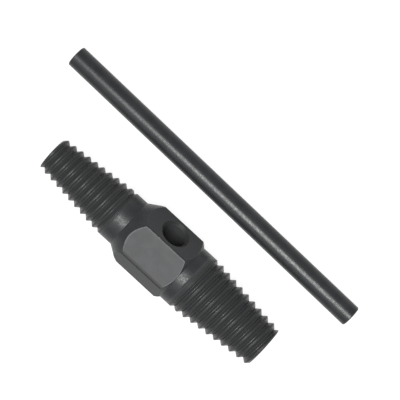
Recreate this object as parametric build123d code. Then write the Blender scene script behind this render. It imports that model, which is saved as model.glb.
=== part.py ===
from build123d import *
import os
from math import atan, ceil, cos, degrees, radians, tan

# Double-ended pipe screw extractor with its loose tommy bar, in millimetres.
# X runs along the body from the small end to the large end, Y towards the bar, Z up.
# The origin is the middle of the hexagon's lower flat, on which the body rests.

# Hexagonal grip
HEX_ACROSS_FLATS = 23.0
HEX_CORNER_LENGTH = 17.35
HEX_CORNER_ROUNDING = 0.7
HEX_SIDES = 6

# Small end: tapered thread, plain neck, and a flare that turns the hexagon's end down
SMALL_TIP_DIAMETER = 13.45
SMALL_THREAD_LENGTH = 31.7
SMALL_PITCH = 3.08
SMALL_RUNOUT_FROM_TIP = 30.44
SMALL_RUNOUT_SIDE = 0.0
NECK_DIAMETER = 19.1
NECK_LENGTH = 4.5
FLARE_ANGLE = 33.0

# Large end: chamfered hexagon end, plain shank, and the larger tapered thread
LARGE_TIP_DIAMETER = 16.5
LARGE_THREAD_LENGTH = 35.05
LARGE_PITCH = 3.29
LARGE_RUNOUT_FROM_TIP = 32.69
LARGE_RUNOUT_SIDE = 180.0
SHANK_DIAMETER = 22.7
SHANK_LENGTH = 3.25
SHANK_CHAMFER_ANGLE = 45.0

# Both threads: left-hand, single start, V grooves cut into cones of the same taper
TAPER_ANGLE = 6.0
FLANK_ANGLE = 48.0
THREAD_CREST_WIDTH = 0.35
RUNOUT_TURNS = 0.45
GROOVE_OVERRUN = 0.1
TIP_CHAMFER = 0.5

# Tommy bar, and the cross hole in the hexagon that takes it
BAR_DIAMETER = 8.0
BAR_LENGTH = 132.0
BAR_END_CHAMFER = 0.35
BAR_HOLE_CLEARANCE = 1.1
HOLE_CHAMFER = 0.87
HOLE_TILT = 30.0

# Where the loose bar lies, on the same surface as the body
BAR_ASIDE = 28.5
BAR_ALONG = -1.8
BAR_SKEW = -0.9

# Sizes that follow from the ones above
HEX_CORNER_RADIUS = HEX_ACROSS_FLATS / 2 / cos(radians(180 / HEX_SIDES))
AXIS_HEIGHT = HEX_ACROSS_FLATS / 2
HALF_HEX = HEX_CORNER_LENGTH / 2
TAPER = tan(radians(TAPER_ANGLE))
FLANK = tan(radians(FLANK_ANGLE))
NECK_RADIUS = NECK_DIAMETER / 2
SHANK_RADIUS = SHANK_DIAMETER / 2
FLARE_LENGTH = (HEX_CORNER_RADIUS - NECK_RADIUS) / tan(radians(FLARE_ANGLE))
CHAMFER_LENGTH = (HEX_CORNER_RADIUS - SHANK_RADIUS) / tan(radians(SHANK_CHAMFER_ANGLE))
SMALL_END = HALF_HEX + FLARE_LENGTH + NECK_LENGTH + SMALL_THREAD_LENGTH
LARGE_END = HALF_HEX + CHAMFER_LENGTH + SHANK_LENGTH + LARGE_THREAD_LENGTH
HOLE_RADIUS = (BAR_DIAMETER + BAR_HOLE_CLEARANCE) / 2


def tapered_end(tip_x, inward, tip_diameter, plain_radius):
    """Corner points of a tapered end, from its axis to where the cone meets the plain part.

    inward is +1 or -1, the direction along X from the tip to the hexagon."""
    tip_radius = tip_diameter / 2
    cone_length = (plain_radius - tip_radius) / TAPER
    return [
        (tip_x, 0),
        (tip_x, tip_radius - TIP_CHAMFER),
        (tip_x + inward * TIP_CHAMFER, tip_radius + TIP_CHAMFER * TAPER),
        (tip_x + inward * cone_length, plain_radius),
    ]


def turned_blank():
    """The body as it leaves the lathe, before the flats, the hole and the threads.

    Its middle stands proud of the hexagon's corners, so the flats are cut from it."""
    proud = HEX_CORNER_ROUNDING
    small = tapered_end(-SMALL_END, 1, SMALL_TIP_DIAMETER, NECK_RADIUS)
    large = tapered_end(LARGE_END, -1, LARGE_TIP_DIAMETER, SHANK_RADIUS)
    middle = [
        (-HALF_HEX - FLARE_LENGTH, NECK_RADIUS),
        (-HALF_HEX + proud / tan(radians(FLARE_ANGLE)), HEX_CORNER_RADIUS + proud),
        (HALF_HEX - proud / tan(radians(SHANK_CHAMFER_ANGLE)), HEX_CORNER_RADIUS + proud),
        (HALF_HEX + CHAMFER_LENGTH, SHANK_RADIUS),
    ]
    outline = make_face(Polyline(*small, *middle, *reversed(large), close=True))
    return Location((0, 0, AXIS_HEIGHT)) * revolve(outline, Axis.X)


def hexagon_envelope():
    """A hexagonal prism as long as the body, inside which the threaded ends are left whole."""
    section = RegularPolygon(HEX_ACROSS_FLATS / 2, HEX_SIDES, major_radius=False)
    section = fillet(section.vertices(), HEX_CORNER_ROUNDING)
    plane = Plane((0, 0, AXIS_HEIGHT), x_dir=(0, 1, 0), z_dir=(1, 0, 0))
    return extrude(plane * section, max(SMALL_END, LARGE_END), both=True)


def cross_hole():
    """The bar's hole through the hexagon, square to one pair of flats, chamfered at both mouths."""
    half_length = HEX_ACROSS_FLATS / 2
    reach = half_length + HEX_CORNER_ROUNDING
    mouth_radius = HOLE_RADIUS + HOLE_CHAMFER + HEX_CORNER_ROUNDING
    outline = Polyline(
        (0, 0),
        (HOLE_RADIUS, 0),
        (HOLE_RADIUS, half_length - HOLE_CHAMFER),
        (mouth_radius, reach),
        (0, reach),
        close=True,
    )
    half = revolve(make_face(Plane.XZ * outline), Axis.Z)
    drill = half + mirror(half, about=Plane.XY)
    return Location((0, 0, AXIS_HEIGHT), (HOLE_TILT - 90, 0, 0)) * drill


def groove(root_radius, root_z, depth, pitch, turns, root_angle):
    """A left-hand V cut about Z, made of ruled faces turn by turn, starting over the X axis.

    Its root climbs a cone of half angle root_angle, and its mouth clears the crests."""
    height = depth + GROOVE_OVERRUN
    half_mouth = height * FLANK
    corners = [
        (0, 0),
        (half_mouth, height + half_mouth * TAPER),
        (-half_mouth, height - half_mouth * TAPER),
    ]
    faces = []
    for turn in range(ceil(turns)):
        span = min(1, turns - turn)
        climb = turn * pitch
        edges = [
            Edge.make_helix(
                pitch=pitch / cos(radians(root_angle)),
                height=span * pitch,
                radius=root_radius + climb * tan(radians(root_angle)) + outward,
                center=(0, 0, root_z + climb + along),
                angle=root_angle,
                lefthand=True,
            )
            for along, outward in corners
        ]
        faces += [Face.make_surface_from_curves(a, b) for a, b in zip(edges, edges[1:] + edges[:1])]
        if turn == 0:
            faces.append(Face(Wire.make_polygon([edge @ 0 for edge in edges], close=True)))
    faces.append(Face(Wire.make_polygon([edge @ 1 for edge in edges], close=True)))
    return Solid(Shell(faces))


def thread(tip_diameter, pitch, runout_z, plain_radius):
    """A thread's full groove and its run-out, about Z with the tip at z = 0.

    The run-out starts over the X axis and lifts out of the plain part."""
    depth = (pitch - THREAD_CREST_WIDTH) / 2 / FLANK
    root_at_tip = tip_diameter / 2 - depth
    turns = ceil((runout_z + pitch / 2) / pitch)
    start_z = runout_z - turns * pitch
    runout_root = root_at_tip + runout_z * TAPER
    lift_angle = degrees(atan((plain_radius - runout_root) / (RUNOUT_TURNS * pitch)))
    full = groove(root_at_tip + start_z * TAPER, start_z, depth, pitch, turns, TAPER_ANGLE)
    runout = groove(runout_root, runout_z, depth, pitch, RUNOUT_TURNS, lift_angle)
    return [full, runout]


def extractor_body():
    body = (turned_blank() & hexagon_envelope()) - cross_hole()
    small_tip = Plane((-SMALL_END, 0, AXIS_HEIGHT), x_dir=(0, 1, 0), z_dir=(1, 0, 0))
    large_tip = Plane((LARGE_END, 0, AXIS_HEIGHT), x_dir=(0, 1, 0), z_dir=(-1, 0, 0))
    small_thread = thread(SMALL_TIP_DIAMETER, SMALL_PITCH, SMALL_RUNOUT_FROM_TIP, NECK_RADIUS)
    large_thread = thread(LARGE_TIP_DIAMETER, LARGE_PITCH, LARGE_RUNOUT_FROM_TIP, SHANK_RADIUS)
    for cut in small_thread:
        body -= small_tip.location * Rotation(0, 0, SMALL_RUNOUT_SIDE) * cut
    for cut in large_thread:
        body -= large_tip.location * Rotation(0, 0, LARGE_RUNOUT_SIDE) * cut
    return body


def tommy_bar():
    """The plain round bar, lying on the surface beside the body."""
    place = Location((BAR_ALONG, BAR_ASIDE, BAR_DIAMETER / 2), (0, 0, BAR_SKEW)) * Rotation(0, 90, 0)
    bar = Cylinder(BAR_DIAMETER / 2, BAR_LENGTH)
    bar = chamfer(bar.edges().filter_by(GeomType.CIRCLE), BAR_END_CHAMFER)
    return place * bar


os.makedirs("parts", exist_ok=True)
for name, shape in (("extractor_body", extractor_body()), ("tommy_bar", tommy_bar())):
    export_step(shape, f"parts/{name}.step")
    print(name, round(shape.volume, 2), shape.bounding_box())
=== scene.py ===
from math import cos, pi, radians, sin, tan

import bpy
from mathutils import Matrix, Vector

# Screw extractor with its loose bar, both in black oxide, on a white floor under two softboxes.
# Places and sizes in the studio are in metres, and those on the object are in millimetres.

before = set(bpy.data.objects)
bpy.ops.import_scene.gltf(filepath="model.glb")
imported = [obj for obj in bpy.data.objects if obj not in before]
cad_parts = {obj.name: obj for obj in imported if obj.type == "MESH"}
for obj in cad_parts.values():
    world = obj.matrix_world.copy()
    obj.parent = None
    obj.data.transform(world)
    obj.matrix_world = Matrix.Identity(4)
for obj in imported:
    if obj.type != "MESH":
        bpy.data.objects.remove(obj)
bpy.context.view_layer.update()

MM = 0.001

# Camera, fitted to the outlines of both pieces
EYE = Vector((9.21, 148.50, 596.80)) * MM
LOOK_AT = Vector((-2.01, 20.74, 0.0)) * MM
ROLL = radians(-132.44)
LENS_MM = 156.43
SENSOR_MM = 36.0
CLIP_NEAR = 0.01
CLIP_FAR = 20.0

# Studio: a floor that glows up to white, a grey world, a long light overhead and a wide one aside
FLOOR_SIZE = 6.0
FLOOR_COLOR = (0.15, 0.15, 0.15, 1)
FLOOR_GLOW = (1, 1, 1, 1)
FLOOR_GLOW_STRENGTH = 0.92
WORLD_COLOR = (0.50, 0.50, 0.50, 1)
SOFTBOXES = {
    "overhead": {
        "place": (0.055, -0.005, 1.1),
        "aim": (0.0, 0.01, 0.0),
        "size": (0.10, 0.52),
        "radiance": 90.0,
    },
    "side": {
        "place": (0.0, -0.78, 1.0),
        "aim": (0.0, 0.0, 0.0),
        "size": (0.9, 0.55),
        "radiance": 1.25,
    },
}

# The body's hexagon, which a flare and a chamfer end, and its cross hole, tilted up from the floor
HEX_SIDES = 6
HEX_ACROSS_FLATS = 23.0
HEX_CORNER_LENGTH = 17.35
FLARE_ANGLE = radians(33.0)
CHAMFER_ANGLE = radians(45.0)
HOLE_RADIUS = 4.55
HOLE_MOUTH_RADIUS = 5.35
HOLE_TILT = radians(30.0)
AXIS_HEIGHT = HEX_ACROSS_FLATS / 2
HEX_CORNER_RADIUS = AXIS_HEIGHT / cos(pi / HEX_SIDES)
HALF_HEX = HEX_CORNER_LENGTH / 2
FLAT_END_MARGIN = 0.15
CORNER_DEPTH = HEX_CORNER_RADIUS - AXIS_HEIGHT
FLATS_FROM_X = -HALF_HEX - CORNER_DEPTH / tan(FLARE_ANGLE) - FLAT_END_MARGIN
FLATS_TO_X = HALF_HEX + CORNER_DEPTH / tan(CHAMFER_ANGLE) + FLAT_END_MARGIN

# Both left-hand threads: root_x is where the groove's root crosses the side towards the bar,
# from_x and to_x bound the grooves, and lines is the strength of the fine lines on the flanks
THREADS = (
    {"pitch": 3.08, "root_x": -20.18, "from_x": -60.0, "to_x": -18.9, "lines": 0.75},
    {"pitch": 3.29, "root_x": 17.86, "from_x": 13.9, "to_x": 60.0, "lines": 1.0},
)

# From root to crest in pitches, and the fine lines' number to a pitch, start and steep side
ROOT_TO_CREST = 0.5
LINES_PER_PITCH = 4
LINE_START = 0.5
LINE_STEEP_SHARE = 0.22

# Ranges over which the masks by facing fade: how far the normal leans along the axis, how far
# it points up, and the cosine of its heading times the number of sides
END_FACE_LEAN = (0.8, 0.9)
CONE_LEAN = (0.1, 0.3)
TOP_FACING = (0.97, 0.995)
ROUNDED_CORNER = (-0.97, -0.9)

# Ranges over which the masks by place fade, and the softness of their edges
RIM_WIDTH = (0.15, 0.4)
# Where the band of painted shade along the corner below the upper flat on the -Y side lies
SHADE_BAND_RADIUS = (12.65, 12.9)
SHADE_BAND_HEIGHT = (8.0, 9.0)
SHADE_BAND_SIDE = (-1.0, 1.0)
THREAD_EDGE = 0.3
SHARP_EDGE = 0.1

# Colours of the steel, in linear light
OXIDE_DARK = (0.0165, 0.0175, 0.0188, 1)
OXIDE_LIGHT = (0.022, 0.023, 0.024, 1)
# The rounded corners of the hexagon are darkened: painted shade standing for a dark reflection
PAINTED_CORNER_SHADE = (0.013, 0.0135, 0.014, 1)
FLAT_COLOR = (0.027, 0.028, 0.0293, 1)
TOP_FLAT_DARK = (0.033, 0.034, 0.0352, 1)
TOP_FLAT_LIGHT = (0.042, 0.0432, 0.045, 1)
# Rubbed bare steel at the flats' ends, which on the upper flat is also a painted highlight
RUBBED_AND_HIGHLIGHT_COLOR = (0.080, 0.082, 0.085, 1)
# Painted shade in the cross hole's mouth, and painted light on the bore inside it
MOUTH_PAINTED_SHADE = (0.014, 0.0145, 0.015, 1)
BORE_PAINTED_LIGHT = (0.030, 0.031, 0.032, 1)
# Painted light in the thread roots and painted shade on the crests, which even out the threads'
# shading
ROOT_PAINTED_LIGHT = (0.038, 0.039, 0.040, 1)
CREST_PAINTED_SHADE = (0.020, 0.0205, 0.021, 1)
BAR_DARK = (0.014, 0.015, 0.0162, 1)
BAR_LIGHT = (0.0195, 0.0205, 0.0215, 1)
THREAD_PAINTED_SHADING_SHARE = 0.8
# Its share on the upper flat, where it is rubbed steel and painted highlight, and on the other
# flats, where it is rubbed steel alone
RUBBED_AND_HIGHLIGHT_ON_TOP = 1.0
RUBBED_ELSEWHERE = 0.12

# Gloss and roughness, and the depths of the tool marks in the material
SPECULAR_LEVEL = 0.27
BODY_ROUGHNESS = (0.32, 0.48)
FLAT_ROUGHNESS = 0.6
TOP_FLAT_ROUGHNESS = 0.5
MOUTH_ROUGHNESS = 0.55
THREAD_ROUGHNESS = (0.37, 0.46)
CREST_RANGE = (0.75, 0.9)
BAR_ROUGHNESS = (0.28, 0.38)
FLANK_LINE_DEPTH = 0.15
GRAIN_DEPTH = 0.022
FINE_DEPTH = 0.012
TURNED_DEPTH = 0.018
BAR_GRAIN_DEPTH = 0.018
DRAWN_DEPTH = 0.008
GRAIN_ON_THREADS = 0.5

# How turning the body and drawing the bar stretch the noises, and the ranges used of each
TURNED_STRETCH = (1.0, 0.12, 0.12)
DRAWN_STRETCH = (0.08, 1.0, 1.0)
BLOTCH_RANGE = (0.3, 0.7)
GRAIN_RANGE = (0.35, 0.65)
RUBBED_AND_HIGHLIGHT_RANGE = (0.3, 0.6)
WEAR_RANGE = (0.3, 0.65)
WORN_STRENGTH = (0.8, 1.1)


def add_camera():
    data = bpy.data.cameras.new("camera")
    data.lens = LENS_MM
    data.sensor_width = SENSOR_MM
    data.clip_start = CLIP_NEAR
    data.clip_end = CLIP_FAR
    camera = bpy.data.objects.new("camera", data)
    bpy.context.scene.collection.objects.link(camera)
    forward = (LOOK_AT - EYE).normalized()
    level_right = forward.cross(Vector((0, 0, 1))).normalized()
    level_up = level_right.cross(forward)
    level = Matrix((level_right, level_up, -forward)).transposed().to_4x4()
    camera.matrix_world = Matrix.Translation(EYE) @ level @ Matrix.Rotation(ROLL, 4, "Z")
    bpy.context.scene.camera = camera


def new_material(name):
    """A material, and its shader with the sockets that the caller fills in."""
    material = bpy.data.materials.new(name)
    material.use_nodes = True
    return material, material.node_tree.nodes["Principled BSDF"]


def add_floor():
    material, shader = new_material("floor_white")
    shader.inputs["Base Color"].default_value = FLOOR_COLOR
    shader.inputs["Emission Color"].default_value = FLOOR_GLOW
    shader.inputs["Emission Strength"].default_value = FLOOR_GLOW_STRENGTH
    shader.inputs["Roughness"].default_value = 1.0
    shader.inputs["Specular IOR Level"].default_value = 0.0
    bpy.ops.mesh.primitive_plane_add(size=FLOOR_SIZE)
    floor = bpy.context.object
    floor.name = "floor"
    floor.data.materials.append(material)


def add_softbox(name, place, aim, size, radiance):
    """A rectangular light with its first side along X, of one brightness whatever its size."""
    data = bpy.data.lights.new(name, "AREA")
    data.shape = "RECTANGLE"
    data.size, data.size_y = size
    data.energy = radiance * size[0] * size[1] * pi
    light = bpy.data.objects.new(name, data)
    bpy.context.scene.collection.objects.link(light)
    back = (Vector(place) - Vector(aim)).normalized()
    side = (Vector((1, 0, 0)) - back * back.x).normalized()
    turn = Matrix((side, back.cross(side), back)).transposed()
    light.matrix_world = Matrix.Translation(place) @ turn.to_4x4()


def add_world():
    world = bpy.data.worlds.new("studio")
    world.use_nodes = True
    world.node_tree.nodes["Background"].inputs["Color"].default_value = WORLD_COLOR
    bpy.context.scene.world = world


class Nodes:
    """Short names for the shader nodes that the materials are made of."""

    def __init__(self, material):
        self.tree = material.node_tree

    def new(self, kind, **settings):
        node = self.tree.nodes.new(kind)
        for key, value in settings.items():
            setattr(node, key, value)
        return node

    def put(self, socket, value):
        if isinstance(value, bpy.types.NodeSocket):
            self.tree.links.new(value, socket)
        else:
            socket.default_value = value

    def math(self, operation, *values):
        node = self.new("ShaderNodeMath", operation=operation)
        for socket, value in zip(node.inputs, values):
            self.put(socket, value)
        return node.outputs[0]

    def product(self, first, *others):
        """All the values multiplied."""
        for value in others:
            first = self.math("MULTIPLY", first, value)
        return first

    def length(self, a, b):
        """The length of the vector with sides a and b."""
        return self.math("SQRT", self.math("ADD", self.product(a, a), self.product(b, b)))

    def ramp(self, value, low, high, to_low=0.0, to_high=1.0, smooth=True):
        kind = "SMOOTHSTEP" if smooth else "LINEAR"
        node = self.new("ShaderNodeMapRange", interpolation_type=kind)
        for socket, number in zip(node.inputs, (value, low, high, to_low, to_high)):
            self.put(socket, number)
        return node.outputs[0]

    def fall(self, value, low, high, smooth=True):
        """1 up to low, and 0 from high on."""
        return self.ramp(value, low, high, 1.0, 0.0, smooth)

    def between(self, value, low, high, soft):
        """1 between low and high, 0 outside, with soft edges."""
        rising = self.ramp(value, low - soft, low + soft)
        return self.product(rising, self.fall(value, high - soft, high + soft))

    def noise(self, place, scale, detail, roughness):
        node = self.new("ShaderNodeTexNoise")
        self.put(node.inputs["Vector"], place)
        node.inputs["Scale"].default_value = scale
        node.inputs["Detail"].default_value = detail
        node.inputs["Roughness"].default_value = roughness
        return node.outputs["Fac"]

    def stretch(self, vector, factors):
        node = self.new("ShaderNodeVectorMath", operation="MULTIPLY")
        self.put(node.inputs[0], vector)
        node.inputs[1].default_value = factors
        return node.outputs[0]

    def split(self, vector):
        """The X, Y and Z of a vector."""
        node = self.new("ShaderNodeSeparateXYZ")
        self.put(node.inputs[0], vector)
        return tuple(node.outputs)

    def blend(self, factor, low, high):
        """Two numbers, mixed by factor."""
        node = self.new("ShaderNodeMix", data_type="FLOAT")
        for index, value in ((0, factor), (2, low), (3, high)):
            self.put(node.inputs[index], value)
        return node.outputs[0]

    def tint(self, factor, low, high):
        """Two colours, mixed by factor."""
        node = self.new("ShaderNodeMix", data_type="RGBA")
        for index, value in ((0, factor), (6, low), (7, high)):
            self.put(node.inputs[index], value)
        return node.outputs[2]

    def bump(self, height, depth, normal=None):
        """Relief as deep as depth, laid over the normal of the relief before it."""
        node = self.new("ShaderNodeBump")
        node.inputs["Strength"].default_value = 1.0
        node.inputs["Distance"].default_value = depth * MM
        self.put(node.inputs["Height"], height)
        if normal is not None:
            self.put(node.inputs["Normal"], normal)
        return node.outputs[0]

    def place(self):
        """The place on the object, in millimetres."""
        coordinates = self.new("ShaderNodeTexCoord")
        return self.stretch(coordinates.outputs["Object"], (1 / MM, 1 / MM, 1 / MM))


class Surface:
    """Where a point of the body lies from its axis, and which way its surface faces there."""

    def __init__(self, nodes):
        self.place = nodes.place()
        self.x, self.y, above_floor = nodes.split(self.place)
        self.height = nodes.math("SUBTRACT", above_floor, AXIS_HEIGHT)
        self.radius = nodes.length(self.y, self.height)
        self.around = nodes.math("DIVIDE", nodes.math("ARCTAN2", self.height, self.y), 2 * pi)
        geometry = nodes.new("ShaderNodeNewGeometry")
        facing_x, self.facing_y, self.facing_z = nodes.split(geometry.outputs["Normal"])
        self.lean = nodes.math("ABSOLUTE", facing_x)


def flank_lines(nodes, from_root):
    """Fine lines along a groove's flanks, each with a steep side and a gentle one."""
    count = nodes.math("MULTIPLY_ADD", from_root, LINES_PER_PITCH, LINE_START)
    across = nodes.math("FRACT", count)
    steep = nodes.fall(across, 0.0, LINE_STEEP_SHARE, smooth=False)
    gentle = nodes.ramp(across, LINE_STEEP_SHARE, 1.0, smooth=False)
    return nodes.math("MAXIMUM", steep, gentle)


def thread_fields(nodes, surface):
    """Where the threads are, the height in their grooves from 0 to 1, and that of the fine lines."""
    masks = []
    heights = []
    lines = []
    for thread in THREADS:
        from_start = nodes.math("SUBTRACT", surface.x, thread["root_x"])
        turns = nodes.math("DIVIDE", from_start, thread["pitch"])
        phase = nodes.math("ADD", turns, surface.around)
        from_root = nodes.math("PINGPONG", phase, ROOT_TO_CREST)
        on_grooves = nodes.between(surface.x, thread["from_x"], thread["to_x"], THREAD_EDGE)
        mask = nodes.product(on_grooves, nodes.fall(surface.lean, *END_FACE_LEAN))
        masks.append(mask)
        heights.append(nodes.product(from_root, 1 / ROOT_TO_CREST, mask))
        lines.append(nodes.product(flank_lines(nodes, from_root), mask, thread["lines"]))
    return tuple(nodes.math("ADD", *fields) for fields in (masks, heights, lines))


def hexagon_masks(nodes, surface):
    """Where the hexagon, its flats, its upper flat and the band of painted shade at the upper corner
    are.
    """
    near_hexagon = nodes.between(surface.x, FLATS_FROM_X, FLATS_TO_X, SHARP_EDGE)
    on_hexagon = nodes.product(near_hexagon, nodes.fall(surface.lean, *CONE_LEAN))
    heading = nodes.math("ARCTAN2", surface.facing_z, surface.facing_y)
    off_corner = nodes.math("COSINE", nodes.product(heading, HEX_SIDES))
    on_flat = nodes.product(on_hexagon, nodes.fall(off_corner, *ROUNDED_CORNER))
    on_top_flat = nodes.product(nodes.ramp(surface.facing_z, *TOP_FACING), on_flat)
    # A band of painted shade along the corner between the upper flat and the flat below it on the -Y
    # side
    painted_shade_band = nodes.product(
        nodes.ramp(surface.radius, *SHADE_BAND_RADIUS),
        nodes.ramp(surface.height, *SHADE_BAND_HEIGHT),
        nodes.fall(surface.y, *SHADE_BAND_SIDE),
        near_hexagon,
    )
    return on_hexagon, on_flat, on_top_flat, painted_shade_band


def flat_rims(nodes, surface):
    """Where a flat is about to end at the flare or the chamfer."""
    from_flare = nodes.math("ADD", surface.x, HALF_HEX)
    from_chamfer = nodes.math("SUBTRACT", HALF_HEX, surface.x)
    to_flare = nodes.product(from_flare, tan(FLARE_ANGLE))
    to_chamfer = nodes.product(from_chamfer, tan(CHAMFER_ANGLE))
    past_corner = nodes.math("MINIMUM", nodes.math("MINIMUM", to_flare, to_chamfer), 0.0)
    below_corner = nodes.math("SUBTRACT", HEX_CORNER_RADIUS, surface.radius)
    return nodes.fall(nodes.math("ADD", past_corner, below_corner), *RIM_WIDTH)


def hole_masks(nodes, surface):
    """Where the mouths of the cross hole are, and its inside."""
    above = nodes.product(surface.height, cos(HOLE_TILT))
    aside = nodes.product(surface.y, sin(HOLE_TILT))
    off_hole = nodes.length(surface.x, nodes.math("SUBTRACT", above, aside))
    in_mouth = nodes.fall(off_hole, HOLE_MOUTH_RADIUS - SHARP_EDGE, HOLE_MOUTH_RADIUS + SHARP_EDGE)
    in_hole = nodes.fall(off_hole, HOLE_RADIUS, HOLE_RADIUS + SHARP_EDGE)
    return in_mouth, in_hole


def finish_steel(nodes, shader, color, roughness, normal):
    nodes.put(shader.inputs["Base Color"], color)
    nodes.put(shader.inputs["Roughness"], roughness)
    nodes.put(shader.inputs["Normal"], normal)
    shader.inputs["Specular IOR Level"].default_value = SPECULAR_LEVEL


def blackened_steel():
    """Black oxide on turned and milled steel, with the tool marks of each kind of surface."""
    material, shader = new_material("blackened_steel")
    nodes = Nodes(material)
    surface = Surface(nodes)
    on_thread, groove_height, lines = thread_fields(nodes, surface)
    on_hexagon, on_flat, on_top_flat, painted_shade_band = hexagon_masks(nodes, surface)
    in_mouth, in_hole = hole_masks(nodes, surface)

    along_turning = nodes.stretch(surface.place, TURNED_STRETCH)
    turned = nodes.noise(along_turning, scale=2.2, detail=4.0, roughness=0.6)
    grain = nodes.noise(surface.place, scale=1.5, detail=4.0, roughness=0.65)
    fine = nodes.noise(surface.place, scale=7.0, detail=2.0, roughness=0.5)
    blotch = nodes.noise(surface.place, scale=0.22, detail=4.0, roughness=0.55)
    wear = nodes.noise(surface.place, scale=0.45, detail=2.0, roughness=0.5)

    shade = nodes.ramp(blotch, *BLOTCH_RANGE)
    top_color = nodes.tint(shade, TOP_FLAT_DARK, TOP_FLAT_LIGHT)
    # Painted light in the roots and painted shade on the crests of the threads
    thread_painted_light_and_shade = nodes.tint(groove_height, ROOT_PAINTED_LIGHT, CREST_PAINTED_SHADE)
    # Rubbed steel along the ends of the flats, at full strength on the upper flat, where it is also
    # a painted highlight
    rubbed_and_highlight = nodes.product(
        flat_rims(nodes, surface),
        on_flat,
        nodes.ramp(grain, *RUBBED_AND_HIGHLIGHT_RANGE),
        nodes.blend(on_top_flat, RUBBED_ELSEWHERE, RUBBED_AND_HIGHLIGHT_ON_TOP),
    )
    color = nodes.tint(shade, OXIDE_DARK, OXIDE_LIGHT)
    # Region colours laid over the oxide; the corners, the corner band, the hole's mouth and bore and
    # the threads' tint are painted shade and painted light
    for mask, region_color in (
        (on_hexagon, PAINTED_CORNER_SHADE),
        (on_flat, FLAT_COLOR),
        (on_top_flat, top_color),
        (rubbed_and_highlight, RUBBED_AND_HIGHLIGHT_COLOR),
        (painted_shade_band, PAINTED_CORNER_SHADE),
        (in_mouth, MOUTH_PAINTED_SHADE),
        (in_hole, BORE_PAINTED_LIGHT),
        (nodes.product(on_thread, THREAD_PAINTED_SHADING_SHARE), thread_painted_light_and_shade),
    ):
        color = nodes.tint(mask, color, region_color)

    thread_roughness = nodes.ramp(groove_height, *CREST_RANGE, *THREAD_ROUGHNESS)
    roughness = nodes.ramp(grain, *GRAIN_RANGE, *BODY_ROUGHNESS)
    for mask, region_roughness in (
        (on_flat, FLAT_ROUGHNESS),
        (on_top_flat, TOP_FLAT_ROUGHNESS),
        (on_thread, thread_roughness),
        (in_mouth, MOUTH_ROUGHNESS),
    ):
        roughness = nodes.blend(mask, roughness, region_roughness)

    worn_lines = nodes.product(lines, nodes.ramp(wear, *WEAR_RANGE, *WORN_STRENGTH))
    steady_grain = nodes.product(grain, nodes.blend(on_thread, 1.0, GRAIN_ON_THREADS))
    normal = nodes.bump(worn_lines, FLANK_LINE_DEPTH)
    for height, depth in (
        (steady_grain, GRAIN_DEPTH),
        (fine, FINE_DEPTH),
        (turned, TURNED_DEPTH),
    ):
        normal = nodes.bump(height, depth, normal)
    finish_steel(nodes, shader, color, roughness, normal)
    return material


def bar_steel():
    """Black oxide on drawn bar, with a lengthwise grain and a speckled highlight."""
    material, shader = new_material("bar_steel")
    nodes = Nodes(material)
    place = nodes.place()
    drawn = nodes.noise(nodes.stretch(place, DRAWN_STRETCH), scale=3.0, detail=4.0, roughness=0.6)
    grain = nodes.noise(place, scale=1.6, detail=4.0, roughness=0.65)
    fine = nodes.noise(place, scale=7.5, detail=2.0, roughness=0.5)
    blotch = nodes.noise(place, scale=0.16, detail=4.0, roughness=0.55)
    color = nodes.tint(nodes.ramp(blotch, *BLOTCH_RANGE), BAR_DARK, BAR_LIGHT)
    roughness = nodes.ramp(grain, *GRAIN_RANGE, *BAR_ROUGHNESS)
    normal = nodes.bump(grain, BAR_GRAIN_DEPTH)
    for height, depth in ((fine, FINE_DEPTH), (drawn, DRAWN_DEPTH)):
        normal = nodes.bump(height, depth, normal)
    finish_steel(nodes, shader, color, roughness, normal)
    return material


def dress(node, material):
    for material_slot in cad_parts[node].material_slots:
        material_slot.material = material


bpy.context.scene.view_settings.view_transform = "Standard"
add_camera()
add_floor()
add_world()
for name, softbox in SOFTBOXES.items():
    add_softbox(name, **softbox)
dress("extractor_body", blackened_steel())
dress("tommy_bar", bar_steel())
